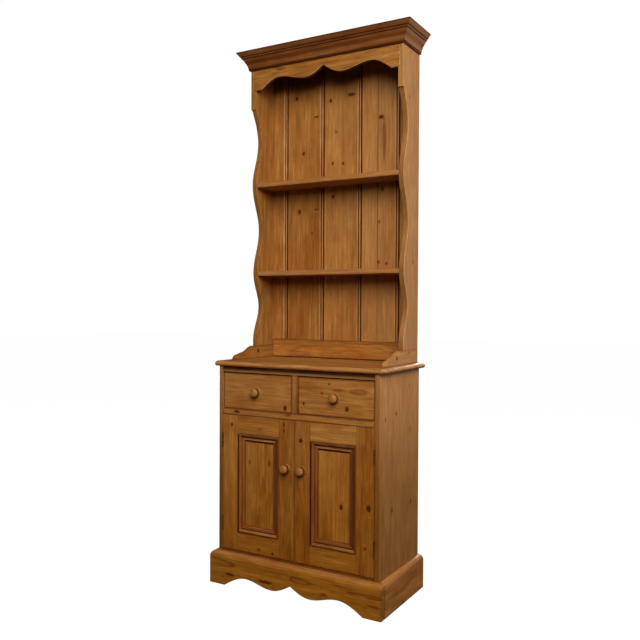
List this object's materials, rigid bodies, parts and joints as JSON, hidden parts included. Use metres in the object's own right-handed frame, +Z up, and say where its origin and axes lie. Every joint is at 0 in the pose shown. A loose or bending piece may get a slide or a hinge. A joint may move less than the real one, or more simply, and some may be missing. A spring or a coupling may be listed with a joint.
{
  "type": "welsh dresser",
  "caption": "Narrow pine welsh dresser: shelved rack with scalloped sides, shaped apron and cornice, over a case with drawers, panelled doors and a shaped plinth.",
  "frame": {"origin": "on the floor, under the middle of the overall width and depth", "axes": "+X to the dresser's right-hand end as seen from the front, +Y towards its back, +Z up"},
  "size_m": [0.7146, 0.354, 1.96],
  "materials": {
    "pine": "waxed honey-brown pine with knots, worn at the edges",
    "red_pine": "waxed pine moulding, stained a redder brown",
    "bare_pine": "unwaxed pale pine inside the case and drawers",
    "brass": "dulled dark brass butt hinges"
  },
  "bodies": {
    "case": {"carcass_side_left": "pine", "carcass_side_right": "pine", "plinth_side_left": "pine", "plinth_side_right": "pine", "plinth_front": "pine", "worktop": "pine", "top_rail": "pine", "mid_rail": "pine", "drawer_deck": "bare_pine", "drawer_partition": "pine", "cupboard_floor": "pine", "cupboard_shelf": "bare_pine", "case_back": "bare_pine", "rack_foot_left": "pine", "rack_foot_right": "pine", "rack_side_left": "pine", "rack_side_right": "pine", "rack_shelf_lower": "pine", "rack_shelf_upper": "pine", "rack_top": "bare_pine", "rack_apron": "pine", "rack_back_rail": "pine", "rack_back_board_1": "pine", "rack_back_board_2": "pine", "rack_back_board_3": "pine", "rack_back_board_4": "pine", "rack_back_board_5": "pine", "cornice_front": "red_pine", "cornice_left": "red_pine", "cornice_right": "red_pine", "hinge_left_lower_case_leaf": "brass", "hinge_left_upper_case_leaf": "brass", "hinge_right_lower_case_leaf": "brass", "hinge_right_upper_case_leaf": "brass"},
    "drawer_left": {"drawer_left_front": "pine", "drawer_left_box": "bare_pine", "drawer_left_bottom": "bare_pine", "drawer_left_knob": "pine"},
    "drawer_right": {"drawer_right_front": "pine", "drawer_right_box": "bare_pine", "drawer_right_bottom": "bare_pine", "drawer_right_knob": "pine"},
    "door_left": {"door_left_hinge_stile": "pine", "door_left_meeting_stile": "pine", "door_left_bottom_rail": "pine", "door_left_top_rail": "pine", "door_left_panel": "pine", "door_left_moulding": "red_pine", "door_left_knob": "pine", "hinge_left_lower_door_leaf": "brass", "hinge_left_upper_door_leaf": "brass"},
    "door_right": {"door_right_hinge_stile": "pine", "door_right_meeting_stile": "pine", "door_right_bottom_rail": "pine", "door_right_top_rail": "pine", "door_right_panel": "pine", "door_right_moulding": "red_pine", "door_right_knob": "pine", "hinge_right_lower_door_leaf": "brass", "hinge_right_upper_door_leaf": "brass"}
  },
  "joints": [
    {"name": "drawer_left_slide", "type": "slide", "parent": "case", "child": "drawer_left", "axis": [0, -1, 0], "range_m": [0, 0.24]},
    {"name": "drawer_right_slide", "type": "slide", "parent": "case", "child": "drawer_right", "axis": [0, -1, 0], "range_m": [0, 0.24]},
    {"name": "door_left_hinge", "type": "hinge", "parent": "case", "child": "door_left", "pos_m": [-0.30425, -0.148, 0.3675], "axis": [0, 0, -1], "range_deg": [0, 170]},
    {"name": "door_right_hinge", "type": "hinge", "parent": "case", "child": "door_right", "pos_m": [0.30425, -0.148, 0.3675], "axis": [0, 0, 1], "range_deg": [0, 170]}
  ]
}
